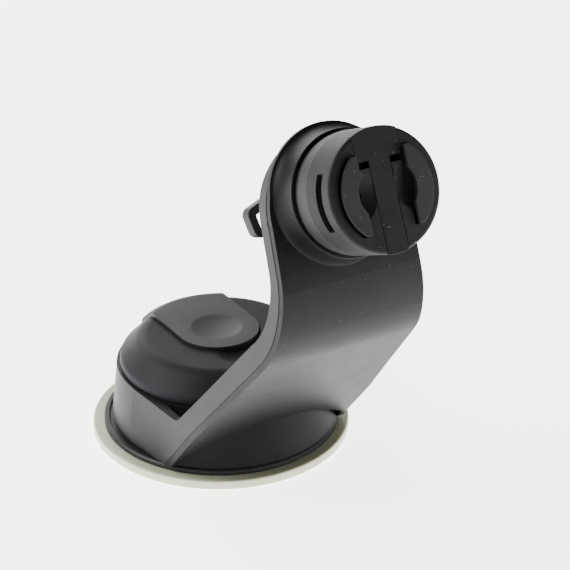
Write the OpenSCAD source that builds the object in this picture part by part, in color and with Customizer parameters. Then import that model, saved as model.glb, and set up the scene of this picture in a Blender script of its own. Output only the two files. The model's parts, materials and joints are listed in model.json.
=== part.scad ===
// Car phone mount: a suction base with a release lever, a swinging arm and a clamped tilting head.
// Origin: centre of the pad's underside. +Z is up, the arm leans out towards -Y.

/* [Suction base] */
// Radius of the soft gel pad
pad_r = 38; // [37:0.5:40]
// Thickness of the gel pad's outer ring
pad_h = 2.85; // [2.4:0.05:3.2]
// Radius of the housing's flange on the pad
flange_r = 34.7; // [34.2:0.1:36]
// Radius of the round cap at its lower edge
cap_r = 29.5; // [29.3:0.1:29.8]
// Height of the cap's lower edge
cap_z = 22.3; // [22.2:0.05:22.6]

/* [Lever] */
// Half width of the lever's tongue
lever_half_w = 12.2; // [11.6:0.1:12.6]
// Angle that the lever opens
lever_open = 35; // [25:1:35]
// Distance that the stem drops when the lever is open
stem_drop = 2.6; // [2.2:0.1:2.6]
// Depth of the finger dish in the tongue
dish_depth = 0.8; // [0.4:0.1:1]

/* [Arm] */
// Forward lean of the lower arm from the vertical
lower_lean = 40.7; // [39.5:0.1:42]
// Radius of the bend between lower and upper arm
bend_r = 28; // [26:0.5:30]
// Thickness of the arm's outer cover
cover_t = 2; // [1.8:0.1:2.2]
// Wall thickness of the arm's frame
web_t = 2.3; // [2:0.1:2.6]

/* [Head] */
// Backward tilt of the head's face from the vertical
head_tilt = 24.5; // [22:0.5:27]
// Radius of the head and of its round back
head_r = 16.2; // [16:0.05:16.3]
// Distance of the head's face from the swivel centre
face_q = 14.7; // [14.5:0.1:15]
// Reach of the clamp knob's wings from its axis
knob_reach = 19.5; // [18:0.5:21]

/* [Hidden] */
$fn = 96;

// Gaps between pieces
run = 0.05;   // round running fit, radial
part_gap = 0.3;   // between moving bodies
seat = 0.02;   // between a fixed pin or screw and its hole

// Levels and radii inside the base
drum_r = 28.8;
neck_r = 25;
neck_z = [9, 13.4];
chassis_floor_t = 2;
chassis_top = cap_z - 0.5;
void_r = 28.2;
gel_skin = 1;
stem_r = 4.5;
stem_plate_r = 8.5;
stem_plate_z = [4.2, 5.4];
tenon_r = 3.4;
tenon_z = 19.5;

// Lever hinge in the Y-Z plane
hinge = [17, 26];
lever_top = 31.5;
lever_t = 2.4;
lever_tip_y = 1.5;
ear_x = [8.3, 11.3];
ear_foot = 5.4;
pin_r = 1.5;
window_gap = 0.35;
cam_reach = stem_drop / (lever_open * PI / 180);
rail_top = hinge[1] - ear_foot - part_gap;

// Sleeve of the arm around the base
sleeve_in = drum_r + part_gap;
sleeve_z = [4.8, 21.9];
sleeve_r = [32.2, 30.5];

// Swivel centre of the head, and points of the upper arm measured from it
pivot = [-72.43, 104.87];
plate_q = -10.9;
back_q = -16.6;
arm_head_r = 20.3;
arm_head_drop = -3.4;
bend_drop = -16.6;
cup_r = [head_r + 0.15, 20];
washer_r = [20.3, 21.9];
stud_r = 2.5;
hub_r = 6;
flange_q = -14.4;
flange_cup_r = 18.8;
flange_end = -16;   // straight lower side of the flange
collar_r = 16.95;
collar_q = -3.6;
cover_inset = 0.12;
edge_r = 1.9;   // round of the cover's outer edge at the head
ring_seam = 3.1;   // lower edge of the head's rear ring
face_seam = 6.7;   // seam between the rear ring and the face
lug_floor = 12.8;
lug_top = 16.2;
lug_x = 7;
lug_r = 13.25;
lug_under = 0.8;   // undercut that a holder's claws turn into
slider_gap = 0.15;
slider_x = [3.1, 6.6];   // half widths of the slider's stem and top
knob_roll = 10;   // the wings' rest angle about the stud

function head_yz(d, q) = [pivot[0] + d * sin(head_tilt) - q * cos(head_tilt),
    pivot[1] + d * cos(head_tilt) + q * sin(head_tilt)];
function arc(c, r, a0, a1, n = 10) = [for (i = [0 : n]) let (a = a0 + (a1 - a0) * i / n)
    [c[0] + r * cos(a), c[1] + r * sin(a)]];
function backwards(p) = [for (i = [len(p) - 1 : -1 : 0]) p[i]];

// The arm's outer line: a straight lower arm, a round bend and a straight upper arm.
// inset moves it inwards, and tail and reach set how far its straight ends run.
bend_c = head_yz(bend_drop, plate_q - bend_r);
bend_a = [180 + lower_lean, 180 - head_tilt];
function bend_pt(a, inset) = bend_c + (bend_r - inset) * [cos(a), sin(a)];
function arm_line(inset, tail = 75, reach = 37) = concat(
    [bend_pt(bend_a[0], inset) + tail * [sin(lower_lean), -cos(lower_lean)]],
    [for (i = [0 : 12]) bend_pt(bend_a[0] + (bend_a[1] - bend_a[0]) * i / 12, inset)],
    [bend_pt(bend_a[1], inset) + reach * [sin(head_tilt), cos(head_tilt)]]);

// Rear edge of the arm's side walls, from the notch above the sleeve up to the head
web_depth = [8, plate_q - back_q];
notch_r = 5;
function notch_c() = let (p = bend_pt(bend_a[0], web_depth[0]),
    s = (p[1] + notch_r * sin(lower_lean) - sleeve_z[1] - notch_r) / cos(lower_lean))
    p + s * [sin(lower_lean), -cos(lower_lean)] + notch_r * [cos(lower_lean), sin(lower_lean)];
function web_rear() = concat(arc(notch_c(), notch_r, -90, lower_lean - 180, 6),
    [for (i = [0 : 12]) bend_pt(bend_a[0] + (bend_a[1] - bend_a[0]) * i / 12,
        web_depth[0] + (web_depth[1] - web_depth[0]) * i / 12)],
    [bend_pt(bend_a[1], web_depth[1]) + 37 * [sin(head_tilt), cos(head_tilt)]]);

// Half width of the arm against height, above the sleeve
arm_width = [[2, 34], [21.9, 34], [21.9, 29], [35, 27], [50, 25], [66, 22.8], [80, 21.3], [96, 20.3]];

module side(w, c = true) rotate([90, 0, 90]) linear_extrude(w, center = c) children();
module front(w = 200) rotate([90, 0, 0]) linear_extrude(w, center = true) children();
module at_pivot() translate([0, pivot[0], pivot[1]]) rotate([90 - head_tilt, 0, 0]) children();
module tube(r, z) {
    translate([0, 0, z[0]]) difference() {
        cylinder(r = r[1], h = z[1] - z[0]);
        translate([0, 0, -1]) cylinder(r = r[0], h = z[1] - z[0] + 2);
    }
}
module below(z, r = 60) translate([0, 0, z - 100]) cylinder(r = r, h = 100);

// Sides of the arm seen from above at three heights: they leave the sleeve's cone at a tangent
plan_z = [0, 21.9, 200];
plan_w = [[32.68, 29.4], [30.5, 29], [30.5, 29]];
function plan_ring(i, inset) = let (a = plan_w[i][0] - inset, b = plan_w[i][1] - inset, z = plan_z[i])
    [[a, 5, z], [a, -3, z], [b, -23, z], [b, -150, z],
    [-b, -150, z], [-b, -23, z], [-a, -3, z], [-a, 5, z]];
module arm_plan(inset) {
    n = 8;
    polyhedron(points = [for (i = [0 : 2]) each plan_ring(i, inset)],
        faces = concat([[for (k = [n - 1 : -1 : 0]) k]], [[for (k = [0 : n - 1]) 2 * n + k]],
            [for (i = [0, 1], k = [0 : n - 1]) let (j = (k + 1) % n)
                [i * n + k, i * n + j, (i + 1) * n + j]],
            [for (i = [0, 1], k = [0 : n - 1]) let (j = (k + 1) % n)
                [i * n + k, (i + 1) * n + j, (i + 1) * n + k]]));
}

// Outline of the arm seen from the front and from above, narrowed by inset.
// The plain form has straight sides and serves for the hollow inside.
module arm_outline(inset = 0, plain = false) {
    front_pts = [for (p = arm_width) [p[1] - inset, p[0]]];
    intersection() {
        union() {
            front() polygon(concat(front_pts, [for (p = backwards(front_pts)) [-p[0], p[1]]]));
            at_pivot() translate([0, arm_head_drop, -60])
                cylinder(r = arm_head_r - inset, h = 100);
        }
        if (plain) translate([inset - 29, -150, 0]) cube([58 - 2 * inset, 155, 200]);
        else arm_plan(inset);
    }
}

// Arched opening at the arm's foot: a cone about the swivel axis between the two foot tips
arch_top = 16.8;
module arch(grow = 0) {
    r0 = 39.1 + grow;
    intersection() {
        rotate_extrude() polygon([[sleeve_in + 0.5, 0], [r0, 0], [r0 - 0.36 * arch_top, arch_top],
            [sleeve_in + 0.5, arch_top]]);
        translate([-27.1, -60, 0]) cube([54.2, 47.7, 30]);
    }
}

module cap_profile(grow, top, z0) {
    // 45 degree shoulder with a small round below it and a large one above it
    sum = cap_r + 24.2 + grow * 1.42;
    c1 = [cap_r - 2.5, sum - (cap_r - 2.5) - (2.5 + grow) * 1.414];
    c2z = 25.45;
    c2 = [sum - c2z - (5 + grow) * 1.414, c2z];
    polygon(concat([[0, z0], [cap_r + grow, z0]], arc(c1, 2.5 + grow, 0, 45, 6),
        arc(c2, 5 + grow, 45, 90, 8), [[0, top]]));
}

module gel_pad() {
    color([0.86, 0.87, 0.78]) rotate_extrude() polygon(concat(
        [[0, 0], [pad_r - 0.3, 0], [pad_r, 0.3]],
        arc([pad_r - 0.5, pad_h - 0.5], 0.5, 0, 90, 5),
        [[void_r, pad_h], [void_r, gel_skin], [0, gel_skin]]));
}

module suction_diaphragm() {
    // Shallow cone from the gel skin up to the stem's plate
    t = 0.9;
    color([0.3, 0.3, 0.3]) rotate_extrude() polygon([[0, stem_plate_z[0] - t],
        [stem_plate_r + 0.5, stem_plate_z[0] - t], [void_r - 1.2, gel_skin], [void_r - 0.2, gel_skin],
        [void_r - 0.2, gel_skin + t], [stem_plate_r, stem_plate_z[0]], [0, stem_plate_z[0]]]);
}

module base_housing() {
    groove = [31.3, 32.9];
    rim_z = pad_h + 1.6;
    color([0.13, 0.13, 0.14]) difference() {
        rotate_extrude() polygon([[void_r, pad_h], [flange_r, pad_h], [flange_r, rim_z - 0.4],
            [flange_r - 0.4, rim_z], [groove[1] + 0.3, rim_z], [groove[1], rim_z - 0.5],
            [groove[0], rim_z - 0.5], [groove[0] - 0.3, rim_z], [drum_r, rim_z + 0.2],
            [drum_r, neck_z[0]], [neck_r, neck_z[0]], [neck_r, neck_z[1]], [20.5, neck_z[1]],
            [20.5, 8], [26.5, 5.4], [void_r, 4.3]]);
        screw_places() translate([0, 0, 9.2]) cylinder(r = 1.25 + seat, h = 10, $fn = 32);
    }
}

module swivel_washer() color([0.85, 0.84, 0.8]) tube([neck_r + 0.3, drum_r - 0.2], [neck_z[0], 9.8]);

module screw_places() {
    for (a = [30, 150, 270]) rotate([0, 0, a]) translate([22.75, 0, 0]) children();
}

module upper_chassis() {
    wall = 2;
    floor_z = neck_z[1];
    color([0.2, 0.2, 0.21]) difference() {
        union() {
            translate([0, 0, floor_z]) cylinder(r = drum_r, h = chassis_floor_t);
            tube([drum_r - wall, drum_r], [floor_z, chassis_top]);
            translate([0, 0, 10.2]) cylinder(r = 7, h = 6.1);
            for (s = [-1, 1]) translate([s * 9.8 - 1.6, 9.5, floor_z])
                cube([3.2, 8.5, rail_top - floor_z]);
        }
        translate([0, 0, 5]) cylinder(r = stem_r + run, h = 20);
        // Notch for the lever's rear edge as it swings down
        translate([-12.8, 18.3, floor_z - 1]) cube([25.6, 20, 20]);
        screw_places() translate([0, 0, 5]) cylinder(r = 1.35, h = 20, $fn = 32);
    }
}

module chassis_screws() {
    z = neck_z[1] + chassis_floor_t;
    color([0.75, 0.75, 0.77]) screw_places() {
        translate([0, 0, 9.4]) cylinder(r = 1.25, h = z - 9.4, $fn = 32);
        translate([0, 0, z]) difference() {
            cylinder(r = 2.2, h = 1.5, $fn = 40);
            for (a = [0, 90]) rotate([0, 0, a]) translate([-1.4, -0.25, 0.8]) cube([2.8, 0.5, 1]);
        }
    }
}

// Shape of the lever's tongue seen from above
module tongue_plan(grow = 0) {
    translate([0, lever_tip_y]) circle(r = lever_half_w + grow);
    translate([-lever_half_w - grow, lever_tip_y]) square([2 * (lever_half_w + grow), 34]);
}

module dome_cap() {
    wall = 1.8;
    color([0.3, 0.3, 0.31]) difference() {
        union() {
            rotate_extrude() cap_profile(0, 30.6, cap_z);
            translate([0, 0, chassis_top]) cylinder(r = drum_r - 0.2, h = 1);
        }
        rotate_extrude() cap_profile(-wall, 30.6 - wall, 0);
        translate([0, 0, 15]) linear_extrude(30) tongue_plan(window_gap);
        // Finger scoop in front of the tongue's tip
        translate([0, -13.5, 54.3]) sphere(r = 25);
    }
}

module stem_post() {
    color([0.7, 0.7, 0.72]) difference() {
        union() {
            translate([0, 0, stem_plate_z[0]]) cylinder(r = stem_plate_r, h = 1.2);
            translate([0, 0, stem_plate_z[0]]) cylinder(r = stem_r, h = tenon_z - stem_plate_z[0]);
            translate([0, 0, tenon_z - 1]) cylinder(r = tenon_r, h = 5);
        }
        translate([0, 0, tenon_z + 2]) rotate([0, 90, 0])
            cylinder(r = 1 + seat, h = 30, center = true, $fn = 32);
    }
}

module lever_yoke() {
    w = 7.9;
    z = tenon_z;
    color([0.25, 0.25, 0.26]) difference() {
        union() {
            side(2 * w) polygon([[-6, z], [6, z], [hinge[0] - 2, hinge[1] - 3.2],
                [hinge[0] + 1.5, hinge[1] - 2], [hinge[0] - 1.2, hinge[1] + 2.2], [8, z + 4.5],
                [-6, z + 4.5]]);
            translate([0, hinge[0], hinge[1]]) rotate([0, 90, 0])
                cylinder(r = 2.5, h = 2 * w, center = true);
        }
        translate([0, 0, z - 1]) cylinder(r = tenon_r + seat, h = 12);
        translate([0, hinge[0], hinge[1]]) rotate([0, 90, 0])
            cylinder(r = pin_r + seat, h = 40, center = true);
        translate([0, 0, z + 2]) rotate([0, 90, 0])
            cylinder(r = 1 + seat, h = 30, center = true, $fn = 32);
    }
}

module yoke_pin() {
    color([0.75, 0.75, 0.77]) translate([0, 0, tenon_z + 2]) rotate([0, 90, 0])
        cylinder(r = 1, h = 15, center = true, $fn = 32);
}

module lever_pin() {
    color([0.75, 0.75, 0.77]) translate([0, hinge[0], hinge[1]]) rotate([0, 90, 0])
        cylinder(r = pin_r, h = 2 * ear_x[1] - 0.2, center = true);
}

// Cam on each ear: it keeps its foot on the rail while the stem sinks in step with the lever
function cam_pt(a) = let (h = ear_foot - cam_reach * (a * PI / 180), b = a - 90)
    hinge + h * [cos(b), sin(b)] - cam_reach * [-sin(b), cos(b)];
module cam_plate() {
    last = cam_pt(lever_open);
    polygon(concat([[hinge[0] - 6.5, hinge[1] + 3.3], [hinge[0] - 6.5, hinge[1] - ear_foot]],
        [for (i = [0 : 8]) cam_pt(lever_open * i / 8)],
        [last + 6 * [cos(lever_open), sin(lever_open)], [hinge[0] + 3, hinge[1] + 3.3]]));
}

module release_lever() {
    skin_z = lever_top - lever_t;
    rear_r = drum_r;
    rear_z = 23.1;
    // The shoulder runs parallel to the cap's, a little proud of it
    sum = cap_r + 25.7;
    color([0.33, 0.33, 0.34]) difference() {
        union() {
            intersection() {
                linear_extrude(60) tongue_plan();
                rotate_extrude() polygon(concat([[0, skin_z], [22.3, skin_z], [26.4, 25], [26.4, rear_z],
                    [rear_r, rear_z]],
                    arc([rear_r - 2.5, sum - rear_r + 2.5 - 2.5 * 1.414], 2.5, 0, 45, 6),
                    arc([sum - lever_top + 4 - 4 * 1.414, lever_top - 4], 4, 45, 90, 6),
                    [[0, lever_top]]));
            }
            for (s = [-1, 1]) translate([s * (ear_x[0] + ear_x[1]) / 2, 0, 0])
                side(ear_x[1] - ear_x[0]) cam_plate();
        }
        dish_r = (64 + dish_depth * dish_depth) / (2 * dish_depth);
        translate([0, 2, lever_top - dish_depth + dish_r]) sphere(r = dish_r, $fn = 192);
        translate([0, hinge[0], hinge[1]]) rotate([0, 90, 0])
            cylinder(r = pin_r + run, h = 40, center = true);
    }
}

// Solid between two insets of the arm's outer line
module arm_layer(inset0, inset1) {
    side(80) polygon(concat(arm_line(inset0), backwards(arm_line(inset1))));
}

// Space of the outer cover, which stays clear of the bearing ring
module cover_bed() {
    difference() {
        arm_layer(-3, cover_t);
        cylinder(r = sleeve_in + 0.55, h = arch_top);
    }
}

module arm_frame() {
    color([0.45, 0.45, 0.46]) difference() {
        union() {
            difference() {
                intersection() {
                    arm_outline();
                    side(80) polygon(concat(arm_line(0.3), backwards(web_rear()),
                        [[-14, sleeve_z[1]], [-2, sleeve_z[1]], [-2, 3]]));
                }
                // Channel between the side walls, open to the rear
                intersection() {
                    arm_outline(web_t, true);
                    side(80) polygon([
                        bend_pt(bend_a[0], cover_t + 2) + 75 * [sin(lower_lean), -cos(lower_lean)],
                        bend_pt(bend_a[0], cover_t + 2), bend_pt(bend_a[0] - 14, cover_t + 2),
                        bend_pt(bend_a[0] - 20, cover_t + 5), bend_pt(bend_a[0] - 22, bend_r - 10),
                        [5, 60], [5, -5]]);
                }
            }
            rotate_extrude() polygon([[sleeve_in, sleeve_z[0]], [sleeve_r[0], sleeve_z[0]],
                [sleeve_r[1], sleeve_z[1]], [sleeve_in, sleeve_z[1]]]);
            tube([neck_r + 0.08, sleeve_in + 1], [10.1, 13.1]);
        }
        difference() {
            translate([0, 0, -1]) cylinder(r = sleeve_in, h = 30);
            tube([neck_r, sleeve_in + 1], [10.1, 13.1]);
        }
        arch(0.3);
        // Underside rises a little towards the rear and clears the flange
        translate([0, -22, 4.4]) rotate([2.5, 0, 0]) translate([-60, -90, -20]) cube([120, 180, 20]);
        below(4.8, flange_r + 0.4);
        at_pivot() {
            intersection() {
                translate([0, arm_head_drop, flange_q - 0.05]) cylinder(r = flange_cup_r + 0.1, h = 10);
                translate([-30, flange_end - 0.2, -30]) cube([60, 60, 60]);
            }
            translate([0, 0, -30]) cylinder(r = 14.9, h = 30);
        }
        cover_bed();
        cover_screw_places() translate([0, 0, -8]) cylinder(r = 1.15, h = 10, $fn = 32);
    }
}

// Round of the cover's outer edge at the head, run on down both sides of the upper arm
module edge_profile() translate([arm_head_r - cover_inset - edge_r, plate_q - edge_r]) difference() {
    square(edge_r + 1);
    circle(r = edge_r, $fn = 48);
}
module head_edge() {
    step = arm_width[7] - arm_width[6];
    taper = atan(-step[1] / step[0] * cos(head_tilt));
    at_pivot() translate([0, arm_head_drop, 0]) {
        intersection() {
            rotate_extrude() edge_profile();
            translate([-40, 0, -40]) cube([80, 40, 80]);
        }
        for (s = [0, 1]) mirror([s, 0, 0]) rotate([0, 0, taper]) translate([0, 0.02, 0])
            rotate([90, 0, 0]) linear_extrude(40) edge_profile();
    }
}

// Collar around the ball: it flares out of the plate and ends in a thin lip
module collar() at_pivot() rotate_extrude() polygon(concat(
    [[14, plate_q - 1.5], [14, collar_q], [collar_r - 0.2, collar_q], [collar_r, collar_q - 0.2]],
    [for (a = [180 : 9 : 270]) [collar_r + 2.3 + 2.3 * cos(a), collar_q - 1 + 6.6 * sin(a)]],
    [[collar_r + 2.3, plate_q - 1.5]]));

module arm_cover() {
    color([0.17, 0.17, 0.18]) difference() {
        union() {
            difference() {
                intersection() {
                    arm_outline(cover_inset);
                    arm_layer(0, cover_t);
                }
                // Soft valley around the collar
                at_pivot() rotate_extrude() translate([18.3, -9.5]) circle(r = 1.85, $fn = 48);
                head_edge();
            }
            collar();
        }
        arch();
        cylinder(r = sleeve_in + 0.6, h = arch_top);
        below(4.9, flange_r + 0.4);
        translate([0, -22, 4.6]) rotate([2.5, 0, 0]) translate([-60, -90, -20]) cube([120, 180, 20]);
        at_pivot() sphere(r = cup_r[0] + 0.1);
        cover_screw_places() translate([0, 0, -1]) cylinder(r = 1 + seat, h = 2.4, $fn = 32);
    }
}

// Screws through the frame's plate into the cover, square to the lower arm.
// Local z = 0 lies on the face between the frame and the cover.
module cover_screw_places() {
    for (u = [14, 40], s = [-1, 1]) {
        p = bend_pt(bend_a[0], cover_t) + u * [sin(lower_lean), -cos(lower_lean)];
        translate([s * 13, p[0], p[1]]) rotate([90 + lower_lean, 0, 0]) children();
    }
}

module cover_screws() {
    color([0.75, 0.75, 0.77]) cover_screw_places() {
        translate([0, 0, -2]) cylinder(r = 1, h = 3.3, $fn = 32);
        translate([0, 0, -3.2]) cylinder(r = 1.9, h = 1.2, $fn = 40);
    }
}

module arm_skirt() {
    // Dark shell behind the arch, which turns with the arm
    color([0.14, 0.14, 0.15]) intersection() {
        rotate_extrude() polygon([[33, 4.85], [34.6, 4.85], [31.5, arch_top], [30.1, arch_top]]);
        translate([-26.8, -60, 0]) cube([53.6, 47.4, 30]);
    }
}

module socket_cup() {
    color([0.8, 0.79, 0.75]) at_pivot() difference() {
        union() {
            intersection() {
                sphere(r = cup_r[1]);
                translate([0, 0, -30]) cylinder(r = 30, h = 30 - cover_t + plate_q - 0.02);
            }
            intersection() {
                translate([0, arm_head_drop, flange_q])
                    cylinder(r = flange_cup_r, h = plate_q - cover_t - 0.02 - flange_q);
                translate([-30, flange_end, -30]) cube([60, 60, 60]);
            }
        }
        sphere(r = cup_r[0]);
        translate([0, 0, -30]) cylinder(r = 7.5, h = 30);
    }
}

module pressure_washer() {
    spread = 31;
    color([0.7, 0.7, 0.72]) at_pivot() difference() {
        intersection() {
            sphere(r = washer_r[1]);
            rotate_extrude() polygon([[0, 0], [40 * sin(spread), -40 * cos(spread)], [0, -40]]);
        }
        sphere(r = washer_r[0]);
        // Slot along X that lets the stud pan
        translate([0, 0, -24]) {
            translate([-4, -2.9, 0]) cube([8, 5.8, 8]);
            for (s = [-4, 4]) translate([s, 0, 0]) cylinder(r = 2.9, h = 8, $fn = 48);
        }
    }
}

module swivel_ball() {
    color([0.12, 0.12, 0.13]) at_pivot() difference() {
        union() {
            difference() {
                sphere(r = head_r);
                sphere(r = head_r - 2.4);
                translate([0, 0, 0]) cylinder(r = 30, h = 40);
            }
            tube([head_r - 2.4, head_r], [-0.5, ring_seam - 0.1]);
            translate([0, 0, -15.2]) cylinder(r = hub_r, h = 21.2);
        }
        translate([0, 0, -20]) cylinder(r = stud_r + seat, h = 30);
        translate([0, 0, -3]) cylinder(r = 4.5, h = 20);
        tube([5.2, 10], [4.9, 5.75]);
    }
}

module ball_stud() {
    color([0.75, 0.75, 0.77]) at_pivot() {
        translate([0, 0, -28]) cylinder(r = stud_r, h = 25.1);
        translate([0, 0, -3]) cylinder(r = 4.2, h = 2.6, $fn = 6);
    }
}

module head_clip() {
    // Open ring in the groove of the ball's tube
    color([0.75, 0.75, 0.77]) at_pivot() difference() {
        tube([5.22, 8.2], [4.95, 5.7]);
        translate([-1.6, 0, 4]) cube([3.2, 10, 3]);
    }
}

module wing_shape(inset = 0) {
    // Tapered wing with round outer corners
    corner = 2.3;
    end_y = 4.25 - corner;
    polygon([[4, 6.5 - inset], [knob_reach - corner, 4.25 - inset], [knob_reach - corner, -4.25 + inset],
        [4, -6.5 + inset]]);
    translate([knob_reach - corner - 0.5, -end_y]) square([corner + 0.5 - inset, 2 * end_y]);
    for (s = [-1, 1]) translate([knob_reach - corner, s * end_y]) circle(r = corner - inset, $fn = 48);
}

module clamp_knob() {
    wall = 2.3;
    z = [-27.6, -23.8];
    color([0.2, 0.2, 0.21]) at_pivot() rotate([0, 0, knob_roll]) difference() {
        union() {
            translate([0, 0, z[0]]) cylinder(r = 8, h = 8);
            for (a = [0, 180]) rotate([0, 0, a]) translate([0, 0, z[0]])
                linear_extrude(z[1] - z[0]) difference() {
                    wing_shape();
                    difference() {
                        wing_shape(wall);
                        circle(r = 8);
                    }
                }
        }
        sphere(r = washer_r[1] + part_gap);
        translate([0, 0, -40]) cylinder(r = stud_r + 0.3, h = 30);
        translate([0, 0, z[0] - 1]) cylinder(r = 4.3, h = 4, $fn = 6);
    }
}

module knob_nut() {
    color([0.75, 0.75, 0.77]) at_pivot() rotate([0, 0, knob_roll]) difference() {
        translate([0, 0, -27.4]) cylinder(r = 4.25, h = 2.8, $fn = 6);
        translate([0, 0, -30]) cylinder(r = stud_r + run, h = 10);
    }
}

module head_screw_places() {
    for (a = [90, 210, 330]) rotate([0, 0, a]) translate([11.2, 0, 0]) children();
}

module head_housing() {
    // Rear ring and floor that turn on the ball's tube
    color([0.11, 0.11, 0.12]) at_pivot() difference() {
        union() {
            tube([head_r - 2, head_r], [ring_seam, face_seam - 0.05]);
            translate([0, 0, 2]) cylinder(r = head_r - 2.8, h = 2.6);
            translate([0, 0, ring_seam]) cylinder(r = head_r - 1, h = 4.6 - ring_seam);
            head_screw_places() translate([0, 0, 2]) cylinder(r = 2.4, h = 7.4, $fn = 40);
        }
        translate([0, 0, -1]) cylinder(r = hub_r + run, h = 12);
        head_screw_places() {
            translate([0, 0, 0]) cylinder(r = 1.2, h = 20, $fn = 32);
            translate([0, 0, 1]) cylinder(r = 2.1, h = 2.6, $fn = 40);
        }
    }
}

module head_screws() {
    color([0.75, 0.75, 0.77]) at_pivot() head_screw_places() {
        translate([0, 0, 3.6]) cylinder(r = 1.1, h = 7.4, $fn = 32);
        translate([0, 0, 2.3]) cylinder(r = 1.95, h = 1.3, $fn = 40);
    }
}

// One pocket of the bayonet face, on the +X side
module pocket_shape() {
    intersection() {
        circle(r = lug_r + 0.5);
        translate([lug_x - 0.5, -10.4]) square([20, 20.8]);
    }
}

// Ramp from the slider's side down into the pocket
module pocket_ramp() {
    ramp_r = 13.8;
    intersection() {
        translate([lug_x + 2.5, 0, lug_floor + ramp_r]) sphere(r = ramp_r);
        translate([slider_x[0], -8, 0]) cube([lug_x + 2.5 - slider_x[0], 16, 30]);
    }
}

// Crescent with a shallow bite in its inner side
module lug_shape(shrink) {
    bite = 1.5;
    bite_r = 7.5;
    difference() {
        intersection() {
            circle(r = lug_r - shrink);
            translate([lug_x + shrink, -10.2 + shrink]) square([20, 20.4 - 2 * shrink]);
        }
        translate([lug_x + shrink + bite - bite_r, 0]) circle(r = bite_r);
    }
}

module face_plate() {
    round_r = 0.9;
    web_q = 9.6;
    color([0.1, 0.1, 0.11]) at_pivot() difference() {
        rotate_extrude() polygon(concat([[head_r - 2, face_seam], [head_r, face_seam]],
            arc([head_r - round_r, face_q - round_r], round_r, 0, 90, 6),
            [[0, face_q], [0, web_q], [head_r - 2, web_q]]));
        for (a = [0, 180]) rotate([0, 0, a]) {
            translate([0, 0, lug_floor]) linear_extrude(10) pocket_shape();
            pocket_ramp();
        }
        // Slots for the T-shaped slider and the chamber for its spring
        translate([-slider_x[0] - slider_gap, -20, 11.75])
            cube([2 * (slider_x[0] + slider_gap), 40, 10]);
        translate([-slider_x[1] - slider_gap, 6.4, lug_floor])
            cube([2 * (slider_x[1] + slider_gap), 20, 10]);
        translate([-1.7, -8, 10.2]) cube([3.4, 10.6, 5]);
        // Grip windows in both sides
        for (a = [0, 180]) rotate([0, 0, a]) intersection() {
            tube([head_r - 3, head_r + 2], [7.8, 10.8]);
            linear_extrude(30) polygon([[0, 0], [30 * cos(27.5), 30 * sin(27.5)],
                [30 * cos(27.5), -30 * sin(27.5)]]);
        }
        head_screw_places() translate([0, 0, 5]) cylinder(r = 1.1 + seat, h = 6.2, $fn = 32);
    }
}

module bayonet_lugs() {
    // Crescents that stand proud of the face on narrower necks
    lip = 0.8;
    color([0.13, 0.13, 0.14]) at_pivot() for (a = [0, 180]) rotate([0, 0, a]) {
        translate([0, 0, lug_floor]) linear_extrude(lug_top - lip - lug_floor) lug_shape(lug_under);
        translate([0, 0, lug_top - lip]) linear_extrude(lip) lug_shape(0);
    }
}

module lock_slider() {
    color([0.09, 0.09, 0.1]) at_pivot() {
        intersection() {
            union() {
                translate([-slider_x[0], -20, 11.8]) cube([2 * slider_x[0], 40, face_q - 11.8]);
                translate([-slider_x[1], 8.2, lug_floor + slider_gap])
                    cube([2 * slider_x[1], 12, face_q - lug_floor - slider_gap]);
            }
            cylinder(r = head_r + 0.1, h = 20);
        }
        translate([-1.4, 0.6, 10.5]) cube([2.8, 1.8, 2]);
    }
}

module slider_spring() {
    // Folded flat spring below the slider, drawn at its pressed length
    turns = 4;
    pitch = 1.1;
    t = 0.3;
    color([0.75, 0.75, 0.77]) at_pivot() translate([0, 0.55, 10.5]) linear_extrude(1.1) {
        for (i = [0 : turns]) translate([-1.3, -i * pitch - t]) square([2.6, t]);
        for (i = [0 : turns - 1]) translate([i % 2 == 0 ? 1 : -1.3, -(i + 1) * pitch - t])
            square([t, pitch + t]);
    }
}

gel_pad();
suction_diaphragm();
base_housing();
swivel_washer();
upper_chassis();
chassis_screws();
dome_cap();
stem_post();
lever_yoke();
yoke_pin();
lever_pin();
release_lever();
arm_frame();
arm_cover();
arm_skirt();
cover_screws();
socket_cup();
pressure_washer();
swivel_ball();
ball_stud();
head_clip();
clamp_knob();
knob_nut();
head_housing();
face_plate();
bayonet_lugs();
head_screws();
lock_slider();
slider_spring();
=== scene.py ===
import json
import math

import bpy
from mathutils import Matrix, Vector

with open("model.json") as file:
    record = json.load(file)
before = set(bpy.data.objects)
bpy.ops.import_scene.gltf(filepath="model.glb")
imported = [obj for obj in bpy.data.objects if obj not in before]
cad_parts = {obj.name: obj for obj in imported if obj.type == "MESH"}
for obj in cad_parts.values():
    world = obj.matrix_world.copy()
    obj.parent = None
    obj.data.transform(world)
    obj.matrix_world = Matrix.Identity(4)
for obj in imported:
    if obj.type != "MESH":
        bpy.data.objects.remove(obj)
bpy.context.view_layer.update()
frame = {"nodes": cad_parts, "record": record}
nodes = frame["nodes"]
MM = 0.001
WHITE = (1.0, 1.0, 1.0, 1.0)
DUST = (0.42, 0.41, 0.39)
RUBBED = 0.35                # most that a rubbed edge takes on its worn colour

WEAR_RADIUS = 0.35 * MM      # how far rubbing reaches from a sharp edge
WELD_GAP = 0.002 * MM
BEVEL_ANGLE = 28.0           # degrees; flatter creases stay as they are
FLOOR_SIZE = 6.0             # metres
FLOOR_DROP = 0.0001          # metres below the pad, so the two don't meet
FLOOR_GLOW = 4.0             # keeps the floor pale under the studio light


# ---------------------------------------------------------------- materials

def new_material(name):
    material = bpy.data.materials.new(name)
    material.use_nodes = True
    tree = material.node_tree
    shader = tree.nodes["Principled BSDF"]
    return material, tree, shader


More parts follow.
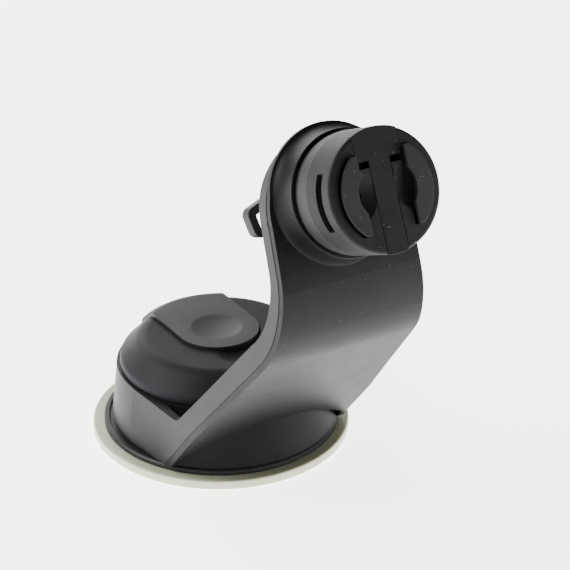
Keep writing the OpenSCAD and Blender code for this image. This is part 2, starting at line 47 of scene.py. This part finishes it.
def add(tree, kind, **inputs):
    """Adds a node and sets its unlinked inputs by name."""
    node = tree.nodes.new(kind)
    for key, value in inputs.items():
        node.inputs[key.replace("_", " ")].default_value = value
    return node


def noise(tree, coords, scale, detail=3.0):
    """Cloudy noise from 0 to 1, with scale features to the metre."""
    node = add(tree, "ShaderNodeTexNoise", Scale=scale, Detail=detail, Roughness=0.55)
    tree.links.new(coords, node.inputs["Vector"])
    return node.outputs["Fac"]


def remap(tree, value, low, high, to_low, to_high):
    """Stretches low..high to to_low..to_high, and clips what lies outside."""
    node = add(tree, "ShaderNodeMapRange")
    node.inputs["From Min"].default_value = low
    node.inputs["From Max"].default_value = high
    node.inputs["To Min"].default_value = to_low
    node.inputs["To Max"].default_value = to_high
    tree.links.new(value, node.inputs["Value"])
    return node.outputs["Result"]


def mix(tree, factor, first, second):
    """Mixes two colours. Each is a colour or an output socket."""
    node = tree.nodes.new("ShaderNodeMix")
    node.data_type = "RGBA"
    tree.links.new(factor, node.inputs["Factor"])
    for socket, value in ((node.inputs[6], first), (node.inputs[7], second)):
        if isinstance(value, bpy.types.NodeSocket):
            tree.links.new(value, socket)
        else:
            socket.default_value = (*value, 1.0)
    return node.outputs[2]


def product(tree, first, second):
    node = tree.nodes.new("ShaderNodeMath")
    node.operation = "MULTIPLY"
    tree.links.new(first, node.inputs[0])
    tree.links.new(second, node.inputs[1])
    return node.outputs[0]


def object_coords(tree):
    return tree.nodes.new("ShaderNodeTexCoord").outputs["Object"]


def edge_mask(tree, radius):
    """1 on sharp edges and 0 on flat stretches: how far a rounded normal leaves the true one."""
    bevel = add(tree, "ShaderNodeBevel", Radius=radius)
    bevel.samples = 6
    geometry = tree.nodes.new("ShaderNodeNewGeometry")
    dot = tree.nodes.new("ShaderNodeVectorMath")
    dot.operation = "DOT_PRODUCT"
    tree.links.new(bevel.outputs["Normal"], dot.inputs[0])
    tree.links.new(geometry.outputs["Normal"], dot.inputs[1])
    return remap(tree, dot.outputs["Value"], 0.99, 0.8, 0.0, 1.0)


def bump(tree, shader, height, distance):
    """Raises the surface by up to distance metres where height is 1."""
    node = add(tree, "ShaderNodeBump", Strength=1.0, Distance=distance)
    tree.links.new(height, node.inputs["Height"])
    tree.links.new(node.outputs["Normal"], shader.inputs["Normal"])


def plastic(name, dark, light, rough, grain=4200.0, depth=0.00002, specks=0.0, shine=0.3):
    """Moulded plastic: cloudy tint, fine grain, rubbed edges and, where asked, dust specks.

    grain is the grain's scale, depth its height in metres, and shine the specular level.
    """
    material, tree, shader = new_material(name)
    coords = object_coords(tree)
    cloud = noise(tree, coords, 60.0, 4.0)
    colour = mix(tree, remap(tree, cloud, 0.35, 0.65, 0.0, 1.0), dark, light)
    worn = tuple(min(1.0, c * 1.9 + 0.015) for c in light)
    edge = edge_mask(tree, WEAR_RADIUS)
    patch = remap(tree, noise(tree, coords, 420.0, 3.0), 0.42, 0.68, 0.0, RUBBED)
    colour = mix(tree, product(tree, edge, patch), colour, worn)
    if specks:
        cells = add(tree, "ShaderNodeTexVoronoi", Scale=900.0)
        tree.links.new(coords, cells.inputs["Vector"])
        dot = remap(tree, cells.outputs["Distance"], 0.05, 0.11, specks, 0.0)
        sparse = remap(tree, noise(tree, coords, 500.0, 1.0), 0.56, 0.62, 0.0, 1.0)
        colour = mix(tree, product(tree, dot, sparse), colour, DUST)
    tree.links.new(colour, shader.inputs["Base Color"])
    smudge = noise(tree, coords, 140.0, 5.0)
    tree.links.new(remap(tree, smudge, 0.3, 0.7, rough - 0.015, rough + 0.025),
                   shader.inputs["Roughness"])
    shader.inputs["Specular IOR Level"].default_value = shine
    bump(tree, shader, noise(tree, coords, grain, 2.0), depth)
    return material


def gel(name):
    """Pale soft gel: slightly clear, with a dusty bloom and a faint fine bump."""
    material, tree, shader = new_material(name)
    coords = object_coords(tree)
    cloud = noise(tree, coords, 45.0, 4.0)
    colour = mix(tree, remap(tree, cloud, 0.3, 0.7, 0.0, 1.0),
                 (0.50, 0.52, 0.37), (0.58, 0.60, 0.45))
    tree.links.new(colour, shader.inputs["Base Color"])
    shader.inputs["Subsurface Weight"].default_value = 0.35
    shader.inputs["Subsurface Radius"].default_value = (1.0, 0.95, 0.7)
    shader.inputs["Subsurface Scale"].default_value = 0.0025
    tree.links.new(remap(tree, noise(tree, coords, 220.0, 4.0), 0.3, 0.7, 0.36, 0.5),
                   shader.inputs["Roughness"])
    bump(tree, shader, noise(tree, coords, 900.0, 3.0), 0.00003)
    return material


def steel(name, tint=(0.55, 0.55, 0.57)):
    """Plated steel with a fine bump and dull patches."""
    material, tree, shader = new_material(name)
    coords = object_coords(tree)
    dull = tuple(c * 0.72 for c in tint)
    patches = noise(tree, coords, 350.0, 4.0)
    tree.links.new(mix(tree, remap(tree, patches, 0.35, 0.7, 0.0, 1.0), tint, dull),
                   shader.inputs["Base Color"])
    shader.inputs["Metallic"].default_value = 1.0
    tree.links.new(remap(tree, noise(tree, coords, 800.0, 3.0), 0.3, 0.7, 0.24, 0.42),
                   shader.inputs["Roughness"])
    bump(tree, shader, noise(tree, coords, 2600.0, 2.0), 0.00001)
    return material


MATERIALS = {
    "gel": gel("gel"),
    "diaphragm": plastic("diaphragm", (0.03, 0.03, 0.03), (0.05, 0.05, 0.05), 0.75),
    "housing": plastic("housing", (0.012, 0.012, 0.013), (0.018, 0.018, 0.019), 0.46),
    "washer": plastic("washer", (0.70, 0.69, 0.64), (0.78, 0.77, 0.72), 0.40),
    "chassis": plastic("chassis", (0.016, 0.016, 0.017), (0.024, 0.024, 0.025), 0.5),
    "steel": steel("steel"),
    "cap": plastic("cap", (0.012, 0.011, 0.014), (0.016, 0.015, 0.018),
                   0.55, 3600.0, 0.000012, shine=0.15),
    "stem": steel("stem", (0.62, 0.62, 0.64)),
    "yoke": plastic("yoke", (0.03, 0.03, 0.032), (0.045, 0.045, 0.048), 0.5),
    "lever": plastic("lever", (0.018, 0.017, 0.020), (0.024, 0.023, 0.026),
                     0.5, 3600.0, 0.000014, shine=0.3),
    "frame": plastic("frame", (0.010, 0.010, 0.011), (0.014, 0.014, 0.015),
                     0.42, 5000.0, 0.000010, shine=0.16),
    "cover": plastic("cover", (0.004, 0.004, 0.0045), (0.006, 0.006, 0.0065),
                     0.42, 4600.0, 0.000022, 0.35, shine=0.11),
    "skirt": plastic("skirt", (0.003, 0.003, 0.0034), (0.005, 0.005, 0.0054), 0.5, shine=0.10),
    "cup": plastic("cup", (0.60, 0.59, 0.55), (0.70, 0.69, 0.65), 0.4),
    "ball": plastic("ball", (0.014, 0.014, 0.015), (0.020, 0.020, 0.021),
                    0.46, 3400.0, 0.00007, 0.5, shine=0.16),
    "head": plastic("head", (0.007, 0.007, 0.0075), (0.011, 0.011, 0.0115),
                    0.5, 3400.0, 0.00007, 0.7, shine=0.12),
    "lug": plastic("lug", (0.008, 0.008, 0.0085), (0.012, 0.012, 0.0125),
                   0.5, 3400.0, 0.00003, 0.7, shine=0.2),
    "slider": plastic("slider", (0.007, 0.007, 0.0075), (0.010, 0.010, 0.0105),
                      0.5, 3400.0, 0.00007, 0.7, shine=0.12),
    "knob": plastic("knob", (0.010, 0.010, 0.011), (0.015, 0.015, 0.016), 0.48, shine=0.16),
}

for row in frame["record"]["subparts"]:
    mesh_slots = nodes[row["node"]].data.materials
    mesh_slots.clear()
    mesh_slots.append(MATERIALS[row["material_slot"]])


# ------------------------------------------------------- rounded CAD edges

# Radius given to the sharp edges of these nodes, in millimetres
EDGE_MM = {
    "gel_pad": 0.3, "base_housing": 0.25, "upper_chassis": 0.2, "dome_cap": 0.35,
    "release_lever": 0.5, "lever_yoke": 0.3, "arm_frame": 0.45, "arm_cover": 0.7,
    "arm_skirt": 0.2, "socket_cup": 0.2, "swivel_ball": 0.15, "clamp_knob": 0.7,
    "knob_nut": 0.15, "head_housing": 0.2, "face_plate": 0.18, "bayonet_lugs": 0.25,
    "lock_slider": 0.18, "stem_post": 0.2, "pressure_washer": 0.15,
}
for name, width in EDGE_MM.items():
    obj = nodes[name]
    weld = obj.modifiers.new("join", "WELD")
    weld.merge_threshold = WELD_GAP
    bevel = obj.modifiers.new("edges", "BEVEL")
    bevel.width = width * MM
    bevel.segments = 3
    bevel.limit_method = "ANGLE"
    bevel.angle_limit = math.radians(BEVEL_ANGLE)
    bevel.use_clamp_overlap = True
    bevel.harden_normals = False
    obj.modifiers.new("normals", "WEIGHTED_NORMAL").keep_sharp = False


# ------------------------------------------------------------------- stage

bpy.ops.mesh.primitive_plane_add(size=FLOOR_SIZE, location=(0, 0, -FLOOR_DROP))
floor = bpy.context.object
floor.name = "floor"
floor_material, floor_tree, floor_shader = new_material("floor")
floor_cloud = noise(floor_tree, object_coords(floor_tree), 8.0)
floor_tree.links.new(mix(floor_tree, floor_cloud, (0.90, 0.90, 0.90), (0.92, 0.92, 0.92)),
                     floor_shader.inputs["Base Color"])
floor_shader.inputs["Roughness"].default_value = 0.6
floor_shader.inputs["Emission Color"].default_value = WHITE
floor_shader.inputs["Emission Strength"].default_value = FLOOR_GLOW
floor.data.materials.append(floor_material)

# Studio walls: bright low down and behind the object, dim overhead and in front of it
world = bpy.data.worlds.new("studio")
bpy.context.scene.world = world
world.use_nodes = True
sky = world.node_tree
facing = sky.nodes.new("ShaderNodeTexCoord").outputs["Generated"]
split = sky.nodes.new("ShaderNodeSeparateXYZ")
sky.links.new(facing, split.inputs["Vector"])
depth = remap(sky, split.outputs["Y"], -0.6, 0.8, 0.12, 0.9)
height = remap(sky, split.outputs["Z"], 0.1, 0.9, 1.0, 0.25)
background = sky.nodes["Background"]
background.inputs["Color"].default_value = WHITE
sky.links.new(product(sky, depth, height), background.inputs["Strength"])


def area_light(name, place, target, size, power):
    data = bpy.data.lights.new(name, "AREA")
    data.shape = "SQUARE"
    data.size = size
    data.energy = power
    light = bpy.data.objects.new(name, data)
    light.location = place
    light.rotation_euler = (Vector(target) - Vector(place)).to_track_quat("-Z", "Y").to_euler()
    bpy.context.collection.objects.link(light)


centre = (0.0, -0.03, 0.06)
area_light("key", (-0.75, 0.25, 0.70), centre, 0.6, 13.0)
area_light("low side", (0.55, -0.55, 0.12), centre, 0.4, 3.0)
area_light("rear", (0.10, 0.85, 0.45), centre, 0.6, 6.0)

# Camera: 31 degrees round from the front and 27.4 degrees up
CAMERA_DISTANCE = 0.7165     # metres from the point it aims at
azimuth = math.radians(-31.0)
elevation = math.radians(27.4)
away = Vector((math.sin(azimuth) * math.cos(elevation),
               -math.cos(azimuth) * math.cos(elevation),
               math.sin(elevation)))
right = Vector((math.cos(azimuth), math.sin(azimuth), 0.0))
up = away.cross(right)
aim = Vector((0.02600, 0.00633, 0.03631))
camera_data = bpy.data.cameras.new("camera")
camera_data.sensor_width = 36.0
camera_data.lens = 151.6
camera_data.clip_start = 0.01
camera = bpy.data.objects.new("camera", camera_data)
turn = Matrix((right, up, away)).transposed().to_4x4()
camera.matrix_world = Matrix.Translation(aim + away * CAMERA_DISTANCE) @ turn
bpy.context.collection.objects.link(camera)
bpy.context.scene.camera = camera
